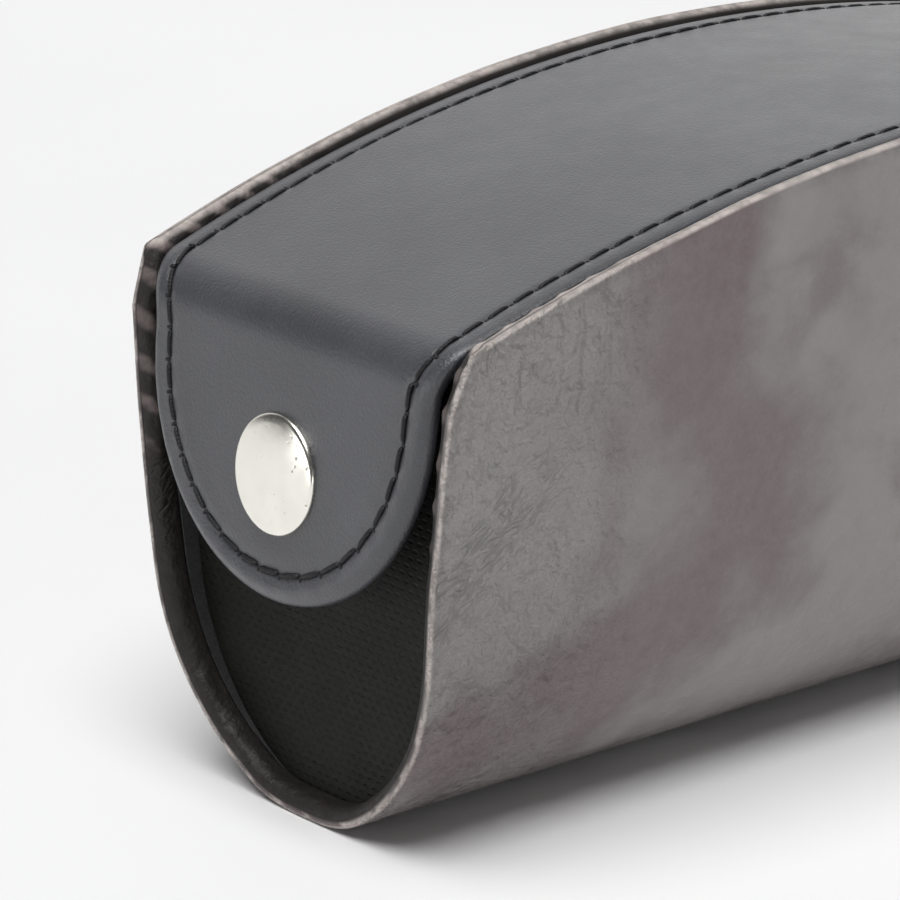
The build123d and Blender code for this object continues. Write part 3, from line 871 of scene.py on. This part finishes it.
def gusset_fabric():
    """Coated fabric embossed with rows of short dashes."""
    fabric = bpy.context.scene.case_colours.fabric
    row_pitch, dash_pitch = 0.88 * MM, 1.4 * MM

    def paint(place):
        _, y, z = place.split()
        row = z * (1 / row_pitch)
        column = y * (1 / dash_pitch) + row.maths("FLOOR").maths("MODULO", 2.0) * 0.5
        in_row = (row.maths("FRACT") - 0.5) * 0.88
        in_dash = (column.maths("FRACT") - 0.5) * 1.4
        off = in_row * in_row * 5.0 + in_dash * in_dash * 1.1
        dash = off.fall(0.05, 0.30) * place.cloud(90, 2.0, 0.5).rise(0.35, 0.65, 0.35, 1.0)
        cloth = place.cloud(2300, 2.0, 0.6)
        uneven = place.cloud(120, 2.0, 0.5).rise(0.3, 0.7)
        colour = uneven.between(times(fabric, 0.8), times(fabric, 1.25))
        colour = (dash * 0.55).between(colour, DASH_DARK)
        rough = cloth.rise(0.3, 0.7, 0.55, 0.68)
        return {"Base Color": colour, "Roughness": rough, "Normal": (cloth * 0.2 - dash).bump(0.00016, 0.7)}

    return material("Gusset fabric", {"Specular IOR Level": 0.2}, paint)


def soft_felt(name):
    """Felt with short fibres and slightly uneven tufts."""
    felt = bpy.context.scene.case_colours.felt

    def paint(place):
        fibre = place.moved(scale=(1.0, 2.6, 1.0)).cloud(2400.0, 4.0, 0.7, 0.6)
        tuft = place.cloud(330, 3.0, 0.6)
        shade = (fibre * 0.7 + tuft * 0.4).rise(0.3, 0.8).between(times(felt, 0.55), times(felt, 1.7))
        rough = tuft.rise(0.3, 0.7, 0.88, 0.98)
        return {"Base Color": shade, "Roughness": rough, "Normal": fibre.bump(0.0003, 0.6)}

    return material(name, {"Specular IOR Level": 0.15, "Sheen Weight": 0.25, "Sheen Roughness": 0.5}, paint)


def grey_board():
    """Pressed grey board with pulp in it and layers along its edge."""

    def paint(place):
        pulp = place.cloud(1600, 4.0, 0.7)
        layer = place.moved(scale=(0.3, 0.3, 5.0)).cloud(900, 2.0, 0.5)
        shade = (pulp * 0.6 + layer * 0.4).rise(0.3, 0.7).between((0.16, 0.145, 0.12), (0.30, 0.28, 0.24))
        rough = pulp.rise(0.3, 0.7, 0.82, 0.95)
        return {"Base Color": shade, "Roughness": rough, "Normal": pulp.bump(0.00015, 0.5)}

    return material("Grey board", {"Specular IOR Level": 0.2}, paint)


def plain_metal(name, colour, rough):
    """Bare metal with a soft uneven tone and fine marks."""

    def paint(place):
        tone = place.cloud(900, 3.0, 0.6)
        mark = place.cloud(2600, 2.0, 0.6)
        shade = (tone * 0.7 + mark * 0.3).rise(0.3, 0.7).between(times(colour, 0.8), colour)
        gloss = mark.rise(0.3, 0.7, rough, rough + 0.14)
        return {"Base Color": shade, "Roughness": gloss, "Normal": mark.bump(0.00004, 0.4)}

    return material(name, {"Metallic": 1.0}, paint)


def moulded_plastic():
    """Black plastic with a fine spark-eroded texture."""

    def paint(place):
        spark = place.cloud(3000, 2.0, 0.6)
        tone = place.cloud(500, 2.0, 0.5).rise(0.3, 0.7)
        shade = tone.between((0.012, 0.012, 0.013), (0.022, 0.022, 0.024))
        rough = spark.rise(0.3, 0.7, 0.42, 0.56)
        return {"Base Color": shade, "Roughness": rough, "Normal": spark.bump(0.00006, 0.35)}

    return material("Black moulded plastic", {"Specular IOR Level": 0.5}, paint)


def pale_floor():
    """A pale floor that keeps the case's shadow."""
    floor = bpy.context.scene.case_colours.floor

    def paint(place):
        return {"Base Color": place.cloud(9, 2.0, 0.5).rise(0.3, 0.7).between(times(floor, 0.985), floor)}

    return material("Pale floor", {"Roughness": 0.75, "Specular IOR Level": 0.2}, paint)


def finish_piece(piece, finish, slot_name, *nodes):
    """Gives a new piece its material and hides the solids that it stands for; its slot name is not used."""
    piece.data.materials.clear()
    piece.data.materials.append(finish)
    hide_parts(*nodes)


# The stage


def add_camera(context):
    """The camera, where the case is seen from above its clasp end."""
    turn, up, roll = (math.radians(angle) for angle in (CAMERA_TURN, CAMERA_UP, CAMERA_ROLL))
    back = Vector((math.sin(turn) * math.cos(up), -math.cos(turn) * math.cos(up), math.sin(up)))
    right = Vector((math.cos(turn), math.sin(turn), 0))
    top = back.cross(right)
    right, top = right * math.cos(roll) + top * math.sin(roll), top * math.cos(roll) - right * math.sin(roll)
    made = bpy.data.cameras.new("camera")
    made.lens, made.sensor_width = CAMERA_LENS, CAMERA_FILM
    made.clip_start, made.clip_end = 0.01, 20.0
    camera = bpy.data.objects.new("camera", made)
    context.collection.objects.link(camera)
    place = Matrix((right, top, back)).transposed().to_4x4()
    place.translation = Vector(CAMERA_PLACE)
    camera.matrix_world = place
    context.scene.camera = camera


def add_light(context, name, kind, place, size, power):
    """A light aimed at the case's middle: a sun of an angular size, or a softbox of a width and height."""
    light = bpy.data.lights.new(name, kind)
    light.energy = power
    if kind == "SUN":
        light.angle = size
    else:
        light.shape, light.size, light.size_y = "RECTANGLE", *size
    lamp = bpy.data.objects.new(name, light)
    context.collection.objects.link(lamp)
    lamp.location = place
    lamp.rotation_euler = (Vector((0, 0, 0.03)) - Vector(place)).to_track_quat("-Z", "Y").to_euler()


def add_world(context):
    """A dim world that looks white to the camera, and in shiny faces on the side away from it."""
    far_side, dim, bright = (0.645, 0.764, 0.0), 0.07, 0.93
    world = bpy.data.worlds.new("Studio")
    context.scene.world = world
    world.use_nodes = True
    tree = world.node_tree
    backdrop = tree.nodes["Background"]
    start = Wire(tree, backdrop.outputs[0])
    seen, gloss, through = (start.node("ShaderNodeLightPath", {}, {}, out=k) for k in (0, 3, 6))
    toward = start.node("ShaderNodeTexCoord", {}, {}, out=0)
    facing = {0: toward, 1: far_side}
    behind = toward.node("ShaderNodeVectorMath", {"operation": "DOT_PRODUCT"}, facing, out=1)
    mirrored = gloss.maths("MAXIMUM", through) * behind.rise(0.3, 0.75)
    strength = seen.maths("MAXIMUM", mirrored) * bright + dim
    backdrop.inputs["Color"].default_value = (1.0, 1.0, 1.0, 1.0)
    tree.links.new(strength.socket, backdrop.inputs["Strength"])


# Operators


class CASE_OT_wall_cover(bpy.types.Operator):
    """The mottled cover of the walls and base, turned in over every edge"""

    bl_idname = "glasses_case.wall_cover"
    bl_label = "Wall cover"

    def execute(self, context):
        section_run, length = 2 * 83.0, 2 * 79.0
        fine = [0, 0.04, 0.14, 0.28, 0.46, 0.68, 0.92, 1.2, 1.6, 2.1, 2.6, 2.97, 3.03, 3.5]
        across = graded(section_run, np.array(fine), 1.3)
        gathered = np.arange(4.1, 36, 0.62)
        along = graded(length, np.concatenate([fine, gathered]), 1.5)
        piece = shell("wall_cover", across, along, wall_map)
        finish_piece(piece, mottled_leather(), "mottled_cover", "outer_cover")
        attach(piece, "case")
        return {"FINISHED"}


class CASE_OT_strip(bpy.types.Operator):
    """The padded leather strip: the lid and clasp tongue in front, the fixed tongue behind"""

    bl_idname = "glasses_case.strip"
    bl_label = "Lid strip"

    def execute(self, context):
        seam = [1.9, 2.15, 2.4, 2.6, 2.8, 3.0, 3.25, 3.6, 4.2]
        fine = np.array([0, 0.04, 0.14, 0.3, 0.5, 0.75, 1.0, 1.3, 1.6, *seam])
        across = graded(2 * TONGUE_HALF, fine, 1.1)
        tip = ROUND_RUN + TONGUE_ROUND - fine[::-1]
        along = np.concatenate([np.arange(0, tip[0] - 0.4, 0.62), tip])
        leather, backing = black_leather(), soft_felt("Strip backing")
        lid = ("lid_cover", "lid_stiffener", "lid_lining")
        front = ("tongue_cover", "tongue_stiffener", "tongue_lining")
        rear = ("fixed_tongue_cover", "fixed_tongue_stiffener", "fixed_tongue_lining")
        for name, end, tongue in (("strip_front", -1, front), ("strip_rear", 1, rear)):
            piece = shell(name, across, along, strip_map(end))
            close_open_edge(piece)
            finish_piece(piece, leather, "black_leather", *lid, *tongue)
            piece.data.materials.append(backing)
            line_back(piece)
            blend_at_crease(piece, end)
        return {"FINISHED"}


class CASE_OT_stitching(bpy.types.Operator):
    """The seam of black thread round the strip"""

    bl_idname = "glasses_case.stitching"
    bl_label = "Stitching"

    def execute(self, context):
        thread = sewing_thread()
        for name, end, tongue in (
            ("stitches_front", -1, "tongue_stitching"),
            ("stitches_rear", 1, "fixed_tongue_stitching"),
        ):
            piece = sewn(name, end)
            finish_piece(piece, thread, "thread", "lid_stitching", tongue)
            blend_at_crease(piece, end)
        return {"FINISHED"}


class CASE_OT_caps(bpy.types.Operator):
    """The two polished caps, on the clasp tongue and on the fixed tongue"""

    bl_idname = "glasses_case.caps"
    bl_label = "Caps"

    def execute(self, context):
        nickel = polished_nickel()
        for name, end, node, body in (
            ("front_cap", -1, "clasp_cap", "tongue"),
            ("back_cap", 1, "rear_cap", "case"),
        ):
            piece = domed_cap(name, end)
            finish_piece(piece, nickel, "nickel_silver", node)
            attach(piece, body)
        return {"FINISHED"}


class CASE_OT_inside(bpy.types.Operator):
    """Finishes for the solids that are used as they are: boards, gussets, linings, rivets and magnet"""

    bl_idname = "glasses_case.inside"
    bl_label = "Inside and fittings"

    def execute(self, context):
        board, fabric, felt = grey_board(), gusset_fabric(), soft_felt("Felt lining")
        steel = plain_metal("Steel", (0.56, 0.55, 0.53), 0.28)
        magnet = plain_metal("Nickel-plated magnet", (0.62, 0.60, 0.56), 0.16)
        plastic = moulded_plastic()
        finishes = {
            "wall_board": board, "front_gusset_board": board, "rear_gusset_board": board,
            "inner_lining": felt, "front_gusset_lining": felt, "rear_gusset_lining": felt,
            "front_gusset_cover": fabric, "rear_gusset_cover": fabric,
            "keeper_plate": steel, "keeper_rivet": steel, "keeper_washer": steel,
            "rear_rivet": steel, "rear_washer": steel, "clasp_rivet": steel, "magnet_cup": steel,
            "clasp_magnet": magnet, "keeper_base": plastic, "rear_spacer": plastic,
        }
        shown = {name for name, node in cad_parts.items() if not node.hide_render}
        if set(finishes) != shown:
            raise RuntimeError(f"finishes and solids differ: {sorted(set(finishes) ^ shown)}")
        for name, finish in finishes.items():
            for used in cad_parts[name].material_slots:
                used.material = finish
        return {"FINISHED"}


class CASE_OT_stage(bpy.types.Operator):
    """The floor, the soft lights and the camera"""

    bl_idname = "glasses_case.stage"
    bl_label = "Stage"

    def execute(self, context):
        bpy.ops.object.select_all(action="DESELECT")
        bpy.ops.mesh.primitive_plane_add(size=6, location=(0, 0, -0.03 * MM))
        bpy.ops.object.transform_apply(location=True, rotation=True, scale=True)
        floor = context.object
        floor.name = "floor"
        floor.data.materials.append(pale_floor())
        add_light(context, "overhead_light", "SUN", (-0.34, -0.16, 1.10), math.radians(46), 3.06)
        add_light(context, "low_side_softbox", "AREA", (0.2, -1.3, 0.09), (1.2, 0.16), 3.6)
        add_light(context, "low_end_softbox", "AREA", (-1.3, 0.35, 0.09), (1.0, 0.16), 2.0)
        add_world(context)
        add_camera(context)
        context.scene.view_settings.view_transform = "Standard"
        return {"FINISHED"}


class CASE_PT_panel(bpy.types.Panel):
    """Lists the pieces of the glasses case"""

    bl_idname = "CASE_PT_panel"
    bl_label = "Glasses case"
    bl_space_type = "VIEW_3D"
    bl_region_type = "UI"
    bl_category = "Glasses case"

    def draw(self, context):
        for maker in MAKERS:
            self.layout.operator(maker.bl_idname)
        for group in (context.scene.case_sizes, context.scene.case_colours):
            for name in group.bl_rna.properties.keys():
                if name not in ("rna_type", "name"):
                    self.layout.prop(group, name)


MAKERS = (CASE_OT_wall_cover, CASE_OT_strip, CASE_OT_stitching, CASE_OT_caps, CASE_OT_inside, CASE_OT_stage)
CLASSES = (CaseSizes, CaseColours, *MAKERS, CASE_PT_panel)


def register():
    for made in CLASSES:
        bpy.utils.register_class(made)
    bpy.types.Scene.case_sizes = PointerProperty(type=CaseSizes)
    bpy.types.Scene.case_colours = PointerProperty(type=CaseColours)


def unregister():
    del bpy.types.Scene.case_colours
    del bpy.types.Scene.case_sizes
    for made in reversed(CLASSES):
        bpy.utils.unregister_class(made)


def main():
    register()
    bpy.ops.glasses_case.wall_cover()
    bpy.ops.glasses_case.strip()
    bpy.ops.glasses_case.stitching()
    bpy.ops.glasses_case.caps()
    bpy.ops.glasses_case.inside()
    bpy.ops.glasses_case.stage()


if __name__ == "__main__":
    main()
